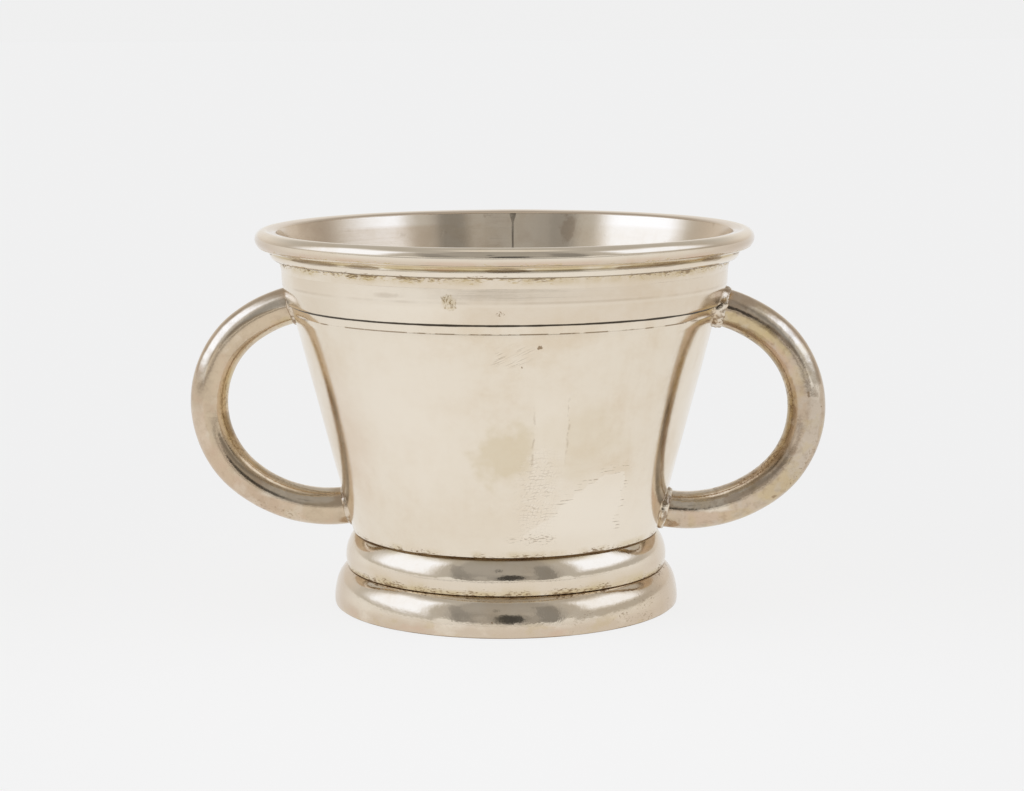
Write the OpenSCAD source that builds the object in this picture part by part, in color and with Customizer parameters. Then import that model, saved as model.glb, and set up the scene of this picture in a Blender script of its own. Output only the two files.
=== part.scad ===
// Two-handled silver cup: a seamed conical body on a stepped hollow foot, with a moulded lip, an applied
// girdle and two round tube handles. The origin is the middle of the foot on the table, and the handles lie
// along X.

/* [Body] */
// Height from the table to the crest of the lip
cup_h = 83.7; // [78:0.1:92]
// Distance that the wall's lower edge stands out past the foot's upper edge
wall_over = 0.5; // [0.3:0.05:0.7]
// Outer diameter of the wall at its upper edge
wall_mouth_d = 102.5; // [94:0.1:112]
// Thickness of the wall's sheet
wall_t = 1; // [0.7:0.05:1.6]
// Thickness of the floor
floor_t = 1.2; // [0.8:0.1:2]
// Gap that the solder fills between two seated faces
solder_gap = 0.05; // [0.02:0.01:0.1]
// Bevel that opens the creases above the two foot mouldings
crease_bevel = 0.55; // [0.2:0.05:0.7]

/* [Lip] */
// Diameter of the round wire along the lip
lip_wire_d = 4.1; // [3.4:0.1:4.8]
// Depth of the flat where the lip wire lies on the wall
lip_seat = 0.2; // [0.1:0.05:0.5]
// Height of the crest above the wall's upper edge
lip_rise = 0.95; // [0.6:0.05:1.6]
// Height from the crest to the underside of the moulding
moulding_h = 6.55; // [6:0.05:8]
// Angle of the lip wire's underside where the hollow starts
moulding_start = 48; // [35:1:60]
// Diameter of the small bead along the moulding's lower edge
moulding_bead_d = 1.6; // [1:0.1:1.8]
// Distance that the small bead stands out from the wall
moulding_out = 1.65; // [1.2:0.05:2.2]
// Radius of the hollow between the lip wire and the small bead
cove_r = 3.2; // [2.6:0.1:5]
// Depth below the small bead's crest at which the hollow runs into it
cove_sink = 0.1; // [0.05:0.05:0.3]

/* [Girdle] */
// Height from the crest to the girdle's lower edge
girdle_drop = 16.3; // [15:0.1:19]
// Height of the girdle's face
girdle_h = 4.3; // [3:0.1:5]
// Height over which the girdle fades into the wall
girdle_fade_h = 3.4; // [2:0.1:3.6]
// Distance that the girdle's face stands out from the wall
girdle_t = 0.75; // [0.4:0.05:1.2]
// Thickness of the girdle's faded edge
girdle_edge_t = 0.15; // [0.1:0.05:0.3]

/* [Foot] */
// Height of the foot, up to the body
foot_h = 16.2; // [14:0.1:18]
// Diameter of the foot at its widest
foot_d = 76.9; // [74:0.1:82]
// Height of the lower moulding
base_h = 8.7; // [7.5:0.1:9.5]
// Height at which the lower moulding is widest
base_belly_z = 0.9; // [0.5:0.1:2]
// Radius of the lower moulding's curve
base_curve_r = 11; // [9:0.5:16]
// Distance that the upper moulding stands out past the lower one's upper edge
collar_over = 0.7; // [0.5:0.05:1]
// Radius of the upper moulding's curve
collar_curve_r = 13; // [10:0.5:18]
// Thickness of the foot's sheet
foot_t = 1; // [0.7:0.05:1.5]
// Width of the flanges that the foot's mouldings seat on
flange_w = 5; // [3:0.5:8]
// Width of the standing wire inside the foot's lower edge
foot_wire_w = 1.9; // [1.4:0.1:3]
// Height of the standing wire
foot_wire_h = 1.4; // [0.8:0.1:1.8]

/* [Handles] */
// Diameter of a handle's tube
handle_d = 8.5; // [6:0.1:9.5]
// Wall of the tube
handle_wall = 0.9; // [0.5:0.1:1.5]
// Height from the crest to the middle of a handle's upper end
handle_drop = 17.7; // [15:0.1:21]
// Height from the foot's top to the middle of a handle's lower end
handle_lift = 5; // [4.8:0.1:9]
// Distance from the wall at the upper end to the furthest middle of the tube
handle_out = 19.9; // [14:0.1:26]
// Width of the solder fillet round a handle's ends
solder_w = 0.8; // [0.6:0.1:1.1]

/* [Hidden] */
$fn = 256;
silver = [0.86, 0.82, 0.75];
solder_silver = [0.9, 0.87, 0.82];

// Foot, each moulding carried by the one below it
function arc_x(centre_x, r, rise) = centre_x + sqrt(r * r - rise * rise);
base_x = foot_d / 2 - base_curve_r;
base_top_x = arc_x(base_x, base_curve_r, base_h - base_belly_z);
base_inner_r = base_curve_r - foot_t;
wire_seat_x = min(arc_x(base_x, base_inner_r, base_belly_z),
                  arc_x(base_x, base_inner_r, foot_wire_h - base_belly_z));
foot_wire_x = wire_seat_x - solder_gap;
collar_edge_x = base_top_x + collar_over;
collar_x = collar_edge_x - collar_curve_r;
collar_z = base_h + solder_gap;
collar_top = foot_h - solder_gap;
collar_top_x = arc_x(collar_x, collar_curve_r, collar_top - collar_z);

// Wall of the body, carried by the foot's upper edge
wall_base_x = collar_top_x + wall_over;
wall_top = cup_h - lip_rise;
wall_slope = (wall_mouth_d / 2 - wall_base_x) / (wall_top - foot_h);
wall_angle = atan(wall_slope);
function wall_out(z) = wall_base_x + wall_slope * (z - foot_h);
function wall_in(z) = wall_out(z) - wall_t / cos(wall_angle);
function seat_out(z) = wall_out(z) + solder_gap;

// Lip wire and moulding
lip_r = lip_wire_d / 2;
lip_z = cup_h - lip_r;
lip_x = wall_out(lip_z) + (lip_r - lip_seat + solder_gap) / cos(wall_angle);
bead_r = moulding_bead_d / 2;
moulding_z = cup_h - moulding_h;
bead_x = wall_out(moulding_z + bead_r) + moulding_out - bead_r;
cove_top = [lip_x + lip_r * cos(moulding_start), lip_z - lip_r * sin(moulding_start)];
cove_foot = [bead_x, moulding_z + moulding_bead_d - cove_sink];

// Girdle
girdle_z = cup_h - girdle_drop;
girdle_shoulder_z = girdle_z + girdle_h;
girdle_top_z = girdle_shoulder_z + girdle_fade_h;

// Handles: half a ring of tube whose level ends run into the wall
handle_top_z = cup_h - handle_drop;
handle_low_z = foot_h + handle_lift;
bend_r = (handle_top_z - handle_low_z) / 2;
bend_z = handle_low_z + bend_r;
bend_x = wall_out(handle_top_z) + handle_out - bend_r;

// Middle of the circle of radius r that passes p and q, on the right of the way from p to q
function arc_centre(p, q, r) =
    let (half = (q - p) / 2, across = [half.y, -half.x] / norm(half))
    p + half + across * sqrt(r * r - half * half);

// A band of sheet bent to an arc, between two heights
module curved_band(centre_x, centre_z, r, from_z, to_z) {
    intersection() {
        difference() {
            translate([centre_x, centre_z]) circle(r);
            translate([centre_x, centre_z]) circle(r - foot_t);
        }
        translate([centre_x, from_z]) square([r, to_z - from_z]);
    }
}

// A level flange that runs inwards from outer_x, with its upper face at top_z
module flange(outer_x, top_z) {
    translate([outer_x - flange_w, top_z - foot_t]) square([flange_w, foot_t]);
}

// Outline of the cone that the wall's outside lies on, from the table to the mouth, grown by the solder gap
module wall_space() {
    polygon([[0, 0], [seat_out(0), 0], [seat_out(wall_top), wall_top], [0, wall_top]]);
}

// Outline of the girdle from inside the wall outwards, grown by a gap
module girdle_outline(gap) {
    polygon([[wall_in(girdle_z), girdle_z - gap],
             [wall_out(girdle_z) + girdle_t + gap, girdle_z - gap],
             [wall_out(girdle_shoulder_z) + girdle_t + gap, girdle_shoulder_z],
             [seat_out(girdle_top_z) + girdle_edge_t + gap, girdle_top_z + gap],
             [wall_in(girdle_top_z), girdle_top_z + gap]]);
}

// The body and girdle as one filled shape, which the handle ends and their solder are cut to
module body_space() {
    rotate_extrude() {
        wall_space();
        girdle_outline(solder_gap);
    }
}

// The right handle as a rod of diameter d, run on into the body
module handle_rod(d) {
    translate([bend_x, 0, bend_z])
        rotate([90, 0, 0])
            rotate([0, 0, -90])
                rotate_extrude(angle = 180)
                    translate([bend_r, 0]) circle(d = d);
    for (end_z = [handle_top_z, handle_low_z])
        translate([bend_x, 0, end_z])
            rotate([0, -90, 0])
                cylinder(d = d, h = bend_x);
}

// The right handle: a tube whose ends are cut to the body
module handle() {
    difference() {
        handle_rod(handle_d);
        handle_rod(handle_d - 2 * handle_wall);
        body_space();
    }
}

// Solder fillet round the right handle's end at height end_z, square to the wall
module solder_ring(end_z) {
    ring_r = handle_d / 2 + solder_w;
    difference() {
        translate([wall_out(end_z), 0, end_z])
            rotate([0, 90 + wall_angle, 0])
                translate([0, 0, -solder_w])
                    cylinder(r1 = ring_r + solder_w, r2 = ring_r - 2 * solder_w, h = 3 * solder_w);
        handle_rod(handle_d + 2 * solder_gap);
        body_space();
    }
}

module both_sides() {
    children();
    mirror([1, 0, 0]) children();
}

module body_wall() {
    color(silver) rotate_extrude()
        polygon([[wall_in(foot_h), foot_h],
                 [wall_out(foot_h) - crease_bevel, foot_h],
                 [wall_out(foot_h + crease_bevel), foot_h + crease_bevel],
                 [wall_out(wall_top), wall_top],
                 [wall_in(wall_top), wall_top]]);
}

module body_floor() {
    floor_top = foot_h + floor_t;
    color(silver) rotate_extrude()
        polygon([[0, foot_h],
                 [wall_in(foot_h) - solder_gap, foot_h],
                 [wall_in(floor_top) - solder_gap, floor_top],
                 [0, floor_top]]);
}

module lip_wire() {
    color(silver) rotate_extrude() difference() {
        translate([lip_x, lip_z]) circle(lip_r);
        wall_space();
    }
}

module lip_moulding() {
    cove_centre = arc_centre(cove_foot, cove_top, cove_r);
    color(silver) rotate_extrude() difference() {
        union() {
            difference() {
                polygon([[wall_in(moulding_z), moulding_z], [bead_x, moulding_z], cove_foot, cove_top,
                         [lip_x, lip_z], [wall_in(lip_z), lip_z]]);
                translate(cove_centre) circle(cove_r);
            }
            translate([bead_x, moulding_z + bead_r]) circle(bead_r);
        }
        translate([lip_x, lip_z]) circle(lip_r + solder_gap);
        wall_space();
    }
}

module girdle_band() {
    color(silver) rotate_extrude() difference() {
        girdle_outline(0);
        wall_space();
    }
}

module foot_collar() {
    color(silver) rotate_extrude() difference() {
        union() {
            curved_band(collar_x, collar_z, collar_curve_r, collar_z, collar_top);
            flange(collar_top_x, collar_top);
        }
        translate([collar_edge_x - crease_bevel, collar_z])
            polygon([[0, 0], [2 * crease_bevel, 0], [2 * crease_bevel, 2 * crease_bevel]]);
    }
}

module foot_base() {
    color(silver) rotate_extrude() {
        curved_band(base_x, base_belly_z, base_curve_r, 0, base_h);
        flange(base_top_x, base_h);
    }
}

// A half-round wire with its flat side against the foot's sheet
module foot_wire() {
    round_r = foot_wire_h / 2;
    color(silver) rotate_extrude() {
        translate([foot_wire_x - foot_wire_w + round_r, 0]) square([foot_wire_w - round_r, foot_wire_h]);
        translate([foot_wire_x - foot_wire_w + round_r, round_r]) circle(round_r);
    }
}

module handle_left() {
    color(silver) mirror([1, 0, 0]) handle();
}

module handle_right() {
    color(silver) handle();
}

module upper_solder() {
    color(solder_silver) both_sides() solder_ring(handle_top_z);
}

module lower_solder() {
    color(solder_silver) both_sides() solder_ring(handle_low_z);
}

body_wall();
body_floor();
lip_wire();
lip_moulding();
girdle_band();
foot_collar();
foot_base();
foot_wire();
handle_left();
handle_right();
upper_solder();
lower_solder();
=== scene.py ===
import math

import bmesh
import bpy
from mathutils import Matrix, Vector


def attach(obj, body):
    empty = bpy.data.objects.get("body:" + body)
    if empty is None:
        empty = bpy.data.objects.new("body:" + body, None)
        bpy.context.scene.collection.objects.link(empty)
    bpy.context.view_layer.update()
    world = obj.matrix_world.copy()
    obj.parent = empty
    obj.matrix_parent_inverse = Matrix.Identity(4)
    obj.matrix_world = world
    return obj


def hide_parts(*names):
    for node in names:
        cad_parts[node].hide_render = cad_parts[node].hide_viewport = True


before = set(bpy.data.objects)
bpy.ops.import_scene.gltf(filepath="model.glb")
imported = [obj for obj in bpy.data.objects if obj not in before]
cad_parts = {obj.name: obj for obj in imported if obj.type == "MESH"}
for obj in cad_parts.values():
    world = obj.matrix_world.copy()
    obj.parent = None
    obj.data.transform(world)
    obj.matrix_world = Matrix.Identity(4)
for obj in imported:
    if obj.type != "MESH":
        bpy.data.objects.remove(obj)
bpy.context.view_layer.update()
mm = 0.001
degree = 180 / math.pi
weldGap = 0.002
print("frame loaded:", len(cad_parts), "nodes")


# sizes are in millimetres, as radius and height; edge is where the sheet ends under the lip
wall = {"base": 34.095, "foot": 16.2, "top": 82.75, "mouth": 51.25, "edge": 83.05,
        "sheet": 1.033, "bevel": 0.3}
wallSlope = (wall["mouth"] - wall["base"]) / (wall["top"] - wall["foot"])


def wallOut(z):
    return wall["base"] + wallSlope * (z - wall["foot"])


def wallIn(z):
    return wallOut(z) - wall["sheet"]


def arcPoints(cx, cz, r, fromDeg, toDeg, count):
    steps = [math.radians(fromDeg + (toDeg - fromDeg) * i / count) for i in range(count + 1)]
    return [(cx + r * math.cos(a), cz + r * math.sin(a)) for a in steps]


def straight(a, b, count):
    return [(a[0] + (b[0] - a[0]) * i / count, a[1] + (b[1] - a[1]) * i / count) for i in range(count + 1)]


def startVertex(name, x, z):
    bpy.ops.object.select_all(action="DESELECT")
    bpy.ops.mesh.primitive_plane_add(size=mm)
    piece = bpy.context.object
    piece.name = piece.data.name = name
    bpy.ops.object.mode_set(mode="EDIT")
    bpy.ops.mesh.select_all(action="SELECT")
    bpy.ops.mesh.merge(type="CENTER")
    bpy.ops.transform.translate(value=(x * mm, 0, z * mm))
    return piece


def cleanUp(angle):
    bpy.ops.mesh.select_all(action="SELECT")
    bpy.ops.mesh.remove_doubles(threshold=weldGap * mm)
    bpy.ops.mesh.normals_make_consistent(inside=False)
    bpy.ops.object.mode_set(mode="OBJECT")
    bpy.ops.object.shade_smooth_by_angle(angle=math.radians(angle))


# draws a section edge by edge and spins it round the cup's axis
def turned(name, points, steps=320, angle=28, shortest=0.003):
    clean = [p for i, p in enumerate(points) if math.dist(p, points[i - 1]) > shortest]
    piece = startVertex(name, *clean[0])
    for a, b in zip(clean, clean[1:]):
        move = ((b[0] - a[0]) * mm, 0, (b[1] - a[1]) * mm)
        bpy.ops.mesh.extrude_region_move(TRANSFORM_OT_translate={"value": move})
    ends = [Vector((p[0] * mm, 0, p[1] * mm)) for p in (clean[0], clean[-1])]
    shape = bmesh.from_edit_mesh(piece.data)
    for v in shape.verts:
        v.select = min((v.co - e).length for e in ends) < weldGap / 2 * mm
    bmesh.update_edit_mesh(piece.data)
    bpy.ops.mesh.edge_face_add()
    bpy.ops.mesh.select_all(action="SELECT")
    bpy.ops.mesh.spin(steps=steps, angle=2 * math.pi, center=(0, 0, 0), axis=(0, 0, 1))
    cleanUp(angle)
    return piece


# slow unevenness left by the hammer and the polishing wheel
def uneven(piece, size, depth, middle=0.5):
    clouds = bpy.data.textures.new(piece.name + "Uneven", "CLOUDS")
    clouds.noise_scale = size * mm
    clouds.noise_depth = 1
    swell = piece.modifiers.new("uneven", "DISPLACE")
    swell.texture = clouds
    swell.texture_coords = "LOCAL"
    swell.strength = depth * mm
    swell.mid_level = middle
    bpy.context.view_layer.objects.active = piece
    bpy.ops.object.modifier_apply(modifier=swell.name)


# wraps a shader socket, so that masks are written as sums
class Tone:
    def __init__(self, tree, socket):
        self.tree, self.socket = tree, socket

    # any node: its type, its settings first, then the values or links of its sockets
    def node(self, kind, settings=None, sockets=None, out=0):
        made = self.tree.nodes.new(kind)
        for key, value in (settings or {}).items():
            setattr(made, key, value)
        for key, value in (sockets or {}).items():
            if isinstance(value, Tone):
                self.tree.links.new(value.socket, made.inputs[key])
            else:
                made.inputs[key].default_value = value
        return Tone(self.tree, made.outputs[out] if len(made.outputs) else None)

    def maths(self, operation, first, second=0.0):
        return self.node("ShaderNodeMath", {"operation": operation}, {0: first, 1: second})

    def __add__(self, other):
        return self.maths("ADD", self, other)

    def __sub__(self, other):
        return self.maths("SUBTRACT", self, other)

    def __mul__(self, other):
        return self.maths("MULTIPLY", self, other)

    def __truediv__(self, other):
        return self.maths("DIVIDE", self, other)

    def __radd__(self, other):
        return self.maths("ADD", other, self)

    def __rsub__(self, other):
        return self.maths("SUBTRACT", other, self)

    def __rmul__(self, other):
        return self.maths("MULTIPLY", other, self)

    def __neg__(self):
        return self.maths("SUBTRACT", 0.0, self)

    def __abs__(self):
        return self.maths("ABSOLUTE", self)

    def least(self, other):
        return self.maths("MINIMUM", self, other)

    def most(self, other):
        return self.maths("MAXIMUM", self, other)

    # length of the sloping side over two others
    def far(self, other):
        return self.maths("SQRT", self * self + other * other)

    # 0 below low, 1 above high, smooth between; low above high turns it round
    def rise(self, low, high):
        return self.node("ShaderNodeMapRange", {"interpolation_type": "SMOOTHSTEP"},
                         {0: self, 1: low, 2: high, 3: 0.0, 4: 1.0})

    # 1 near the middle, half way down at half a width, with soft edges
    def near(self, middle, half, soft):
        return abs(self - middle).rise(half + soft, max(half - soft, 0.0))

    def blend(self, first, second):
        return self.node("ShaderNodeMix", {"data_type": "RGBA"}, {0: self, 6: first, 7: second}, 2)


def rgb(*c):
    return (*c, 1.0)


# tones of the worn silver
silverTones = {
    "bright": rgb(0.895, 0.815, 0.70),
    "clean": rgb(0.835, 0.748, 0.622),
    "warm": rgb(0.765, 0.645, 0.49),
    "grey": rgb(0.62, 0.545, 0.455),
    "gold": rgb(0.655, 0.53, 0.38),
    "dull": rgb(0.64, 0.52, 0.395),
    "tan": rgb(0.52, 0.405, 0.295),
    "blush": rgb(0.68, 0.475, 0.35),
    "yellow": rgb(0.62, 0.49, 0.265),
    "brown": rgb(0.26, 0.165, 0.085),
    "black": rgb(0.055, 0.042, 0.03),
    "roughness": 0.085,
}


# a silver material, measured in millimetres and in degrees round the cup
class SilverFinish:
    def __init__(self, name):
        self.material = bpy.data.materials.new(name)
        self.material.use_nodes = True
        tree = self.material.node_tree
        tree.nodes.clear()
        self.t = Tone(tree, None)
        place = self.t.node("ShaderNodeTexCoord", out="Object")
        self.place = self.t.node("ShaderNodeMapping", {}, {"Vector": place, "Scale": (1 / mm, 1 / mm, 1 / mm)})
        self.x, self.y, self.z = (self.t.node("ShaderNodeSeparateXYZ", {}, {0: self.place}, i) for i in range(3))
        self.turn = self.t.maths("ARCTAN2", self.x, -self.y) * degree  # 0 at the front, + to the right
        self.colour = self.rough = self.height = None

    # noise whose grains have the given sizes along x, y and z
    def grain(self, sizeX, sizeY, sizeZ, detail=3.0, spin=(0, 0, 0), shift=(0, 0, 0), crooked=0.0):
        where = self.t.node("ShaderNodeMapping", {"vector_type": "TEXTURE"}, {
            "Vector": self.place, "Rotation": spin, "Location": shift, "Scale": (sizeX, sizeY, sizeZ)})
        return self.t.node("ShaderNodeTexNoise", {}, {
            "Vector": where, "Scale": 1.0, "Detail": detail, "Roughness": 0.55, "Distortion": crooked})

    # small pits, torn at the edge, in a quarter of the cells
    def specks(self, gap, size, shift=(0, 0, 0)):
        where = self.t.node("ShaderNodeMapping", {}, {
            "Vector": self.place, "Location": shift, "Scale": (1 / gap, 1 / gap, 1 / gap)})
        away = self.t.node("ShaderNodeTexVoronoi", {}, {"Vector": where, "Scale": 1.0}, 0) * gap
        pick = self.t.node("ShaderNodeTexVoronoi", {}, {"Vector": where, "Scale": 1.0}, 1)
        chance = self.t.node("ShaderNodeSeparateColor", {}, {0: pick}, 0)
        torn = (self.grain(size * 0.9, size * 0.9, size * 0.6, 2, shift=shift) - 0.5) * (size * 2.2)
        return (away + torn).rise(size * 0.75, size * 0.4) * chance.rise(0.74, 0.8)

    # ragged patch round one place on the body: turn in degrees, height, and half its width and height
    def patch(self, turn, z, halfTurn, halfZ, size=2.0, ragged=0.8, soft=0.15):
        far = ((self.turn - turn) / halfTurn).far((self.z - z) / halfZ)
        far = far + (self.grain(size, size, size, 4, shift=(turn, z, 2)) - 0.5) * (2 * ragged)
        return far.rise(1.0 + soft, 1.0 - soft)

    # the metal that all pieces share: cloudy tarnish, mottling and hairlines
    def start(self, warmth=0.5, hairlines=1.0, clean="clean", warm="warm", rougher=0.0):
        clouds = self.grain(23, 23, 15, 4, crooked=0.4)
        mottle = self.grain(3.1, 3.1, 2.2, 4, shift=(3, 1, 7))
        streaks = self.grain(2.4, 2.4, 34, 3, shift=(1, 6, 0))
        fine = self.grain(0.9, 0.9, 0.7, 3, shift=(6, 3, 1))
        tarnish = clouds.rise(0.32, 0.72) * 0.6 + mottle * 0.5 + streaks * 0.4 + fine * 0.3 + (warmth - 1.1)
        tarnish = tarnish.rise(0.0, 1.0)
        self.colour = tarnish.blend(silverTones[clean], silverTones[warm])
        rubbed = self.grain(26, 26, 0.22, 2).rise(0.52, 0.74)  # level hairlines of polishing
        crossed = self.grain(0.16, 9, 14, 2, spin=(0.5, 0.35, 0.2)).rise(0.6, 0.76)
        crossing = self.grain(0.2, 12, 8, 2, spin=(-0.6, 0.2, 0.9), shift=(5, 2, 1)).rise(0.62, 0.78)
        lines = (rubbed * 0.5 + crossed * 0.5 + crossing * 0.5) * hairlines
        self.rough = silverTones["roughness"] + rougher + lines * 0.06 + tarnish * 0.05 + mottle * 0.04
        self.height = mottle * 0.010 - lines * 0.004
        return self

    # lays a tone over the metal, dulled and slightly raised or sunk
    def stain(self, mask, tone, dull=0.2, lift=0.0):
        self.colour = mask.blend(self.colour, silverTones[tone])
        self.rough = self.rough + mask * dull
        if lift:
            self.height = self.height + mask * lift
        return self

    # dark line along a level crevice, thick and thin by turns; at the foot's bottom edge it is a painted contact
    # shadow
    def crease(self, z, half, tone="black", where=1.0):
        thick = (self.grain(7, 7, 40, 4, shift=(z, 0, 0)) * 1.5 + 0.15) * half
        return self.stain((abs(self.z - z) / thick).rise(1.1, 0.5) * where, tone, 0.3)

    # grains of dried polish that thin out away from a crevice
    def grains(self, z, reach, tone, amount=0.5, size=0.25, where=1.0):
        close = (1 - abs(self.z - z) / reach).most(0.0)
        fine = self.grain(size * 4, size * 4, size, 3, shift=(z, 3, 1))
        lots = self.grain(7, 7, 30, 4, shift=(0, z, 4))
        mask = fine + close * 0.22 + (lots - 0.5) * 0.7 + (amount - 0.5) * 0.4
        return self.stain(mask.rise(0.66, 0.78) * close.rise(0.0, 0.3) * where * 0.8, tone, 0.25, 0.006)

    # yellow film of dried polish that comes and goes along a crevice
    def film(self, mask, size, shift, low, high, share, dull=0.08):
        cloud = self.grain(size, size, 30, 4, shift=shift).rise(low, high)
        return self.stain(mask * cloud * share, "yellow", dull)

    def done(self):
        bump = self.t.node("ShaderNodeBump", {}, {"Strength": 1.0, "Distance": 0.001, "Height": self.height})
        shader = self.t.node("ShaderNodeBsdfPrincipled", {}, {
            "Base Color": self.colour, "Metallic": 1.0, "Roughness": self.rough.least(0.75), "Normal": bump})
        self.t.node("ShaderNodeOutputMaterial", {}, {0: shader})
        return self.material


def dress(piece, material, node):
    piece.data.materials.clear()
    piece.data.materials.append(material)
    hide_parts(node)
    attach(piece, "root")


# body wall: one bent sheet, seamed at the back, with a scribed line under the girdle
# worn: turn, height, half turn, half height, grain, raggedness, softness, strength, tone, dulling
# nick and insideSpot: the same, up to softness; the names in Z are heights
wallLook = {
    "warmth": 0.62, "hairlines": 0.9, "uneven": 0.16, "unevenSize": 19,
    "scribeZ": 65.45, "scribeDeep": 0.07, "scribeWide": 0.16,
    "worn": [
        (-30, 48, 22, 18, 14, 0.5, 0.9, 0.75, "bright", 0.0), (38, 23, 26, 8, 9, 0.5, 0.9, 0.7, "bright", 0.0),
        (0, 21, 30, 5, 9, 0.5, 0.9, 0.6, "clean", 0.0), (4, 39, 8, 6, 5, 1.1, 0.4, 0.36, "yellow", 0.05),
        (-52, 40, 9, 12, 9, 0.7, 0.9, 0.2, "blush", 0.03), (28, 42, 12, 7, 6, 1.2, 0.6, 0.16, "yellow", 0.03),
    ],
    "stripTurn": 17.5, "stripZ": 44, "stripEdges": [(12.3, 42), (22.6, 45)],
    "foldTurn": 14.5, "foldZ": 30, "splashTop": 34.4, "scratchTurn": 6, "scratchZ": 60.5,
    "nick": (13.2, 62.6, 0.75, 0.4, 0.35, 1.1), "girdleZ": 67.3, "footZ": 16.35, "beadZ": 77.0,
    "seamAt": -178.0, "seamTop": (80.5, 82.7), "flankTurn": 108, "underLipHighlightTurn": 143, "underLipHighlightZ": (79.9, 81.0),
    "insideSpot": (166.4, 79.4, 1.9, 3.0, 1.6, 1.0, 0.25),
}


def makeWall():
    foot, top, scribe = wall["foot"], wall["edge"], wallLook["scribeZ"]
    half, low = wallLook["scribeWide"], wall["foot"] + wall["bevel"]
    outside = straight((wallOut(low), low), (wallOut(scribe - half), scribe - half), 34)
    outside += [(wallOut(scribe) - wallLook["scribeDeep"], scribe)]
    outside += straight((wallOut(scribe + half), scribe + half), (wallOut(top), top), 12)
    inside = straight((wallIn(top), top), (wallIn(foot), foot), 46)
    piece = turned("bodyWall", [(wallOut(foot) - wall["bevel"], foot)] + outside + inside)
    uneven(piece, wallLook["unevenSize"], wallLook["uneven"])
    m = SilverFinish("wallSilver").start(wallLook["warmth"], wallLook["hairlines"])
    middle = wall["base"] - wall["sheet"] / 2
    outer = (m.x.far(m.y) - wallSlope * (m.z - foot)).rise(middle - 0.1, middle + 0.1)
    wornOutside(m, outer)
    driedSplash(m, outer)
    wornCrevices(m, outer)
    wornInside(m, 1 - outer)
    dress(piece, m.done(), "body_wall")


# what years of polishing left on the outside of the wall
def wornOutside(m, outer):
    for *spot, share, tone, dull in wallLook["worn"]:
        m.stain(m.patch(*spot) * outer * share, tone, dull)
    strip = m.turn.near(wallLook["stripTurn"], 5, 0.6) * m.z.near(wallLook["stripZ"], 8, 4)
    m.stain(strip * outer * 0.3, "bright", -0.02)
    sway = (m.grain(6, 6, 5, 4, shift=(4, 4, 4)) - 0.5) * 3
    broken = m.grain(1.2, 1.2, 2.5, 3, shift=(8, 1, 1)).rise(0.46, 0.58)
    for edge, middle in wallLook["stripEdges"]:
        line = abs(m.turn - edge + sway).rise(0.5, 0.15) * m.z.near(middle, 6, 3)
        m.stain(line * broken * outer * 0.24, "brown", 0.1)


# a dried splash at the lower right: wrinkled film beside it, and a rim drawn out in level strokes
def driedSplash(m, outer):
    film = m.grain(9, 9, 7, 4, shift=(9, 4, 2), crooked=0.6)
    torn = m.grain(1.3, 1.3, 0.6, 3, shift=(5, 5, 5)).rise(0.45, 0.57)
    level = m.t.maths("SINE", m.z * 8.5 + film * 44).rise(0.3, 0.95)
    steep = m.t.maths("SINE", m.x * 7 - m.z * 3 + film * 40).rise(0.4, 0.95)
    folds = m.turn.near(wallLook["foldTurn"], 5, 4) * m.z.near(wallLook["foldZ"], 8, 5) * outer * torn
    m.stain(folds * level.most(steep) * 0.24, "brown", 0.12, 0.012)
    # painted highlights: the lighter tone between the wrinkle lines
    m.stain(folds * (1 - level) * 0.4, "bright", 0.0)
    ragged = (m.grain(5, 5, 4, 5, shift=(3, 3, 9)) - 0.5) * 5
    depth = (m.turn * 0.44 - m.z * 0.85 + 13.5).least(31 - m.turn * 0.68)
    depth = depth.least(wallLook["splashTop"] - m.z) + ragged
    m.stain(depth.rise(-0.1, 0.4) * outer * m.z.rise(19, 23) * 0.6, "bright", 0.0, -0.006)
    strokes = m.t.maths("SINE", m.z * 9 + film * 9).rise(0.55, 0.95)
    strokes = strokes * m.grain(1.9, 1.9, 0.5, 3, shift=(1, 5, 2)).rise(0.5, 0.6)
    rim = depth.near(-0.4, 0.9, 0.7) * m.turn.near(35, 15, 3) * m.z.rise(20, 22) * outer
    m.stain(rim * strokes * 0.55, "brown", 0.2, 0.01)
    m.grains(20.6, 1.8, "brown", 0.34, 0.24, m.turn.near(14, 8, 4) * outer * 0.6)


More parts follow.
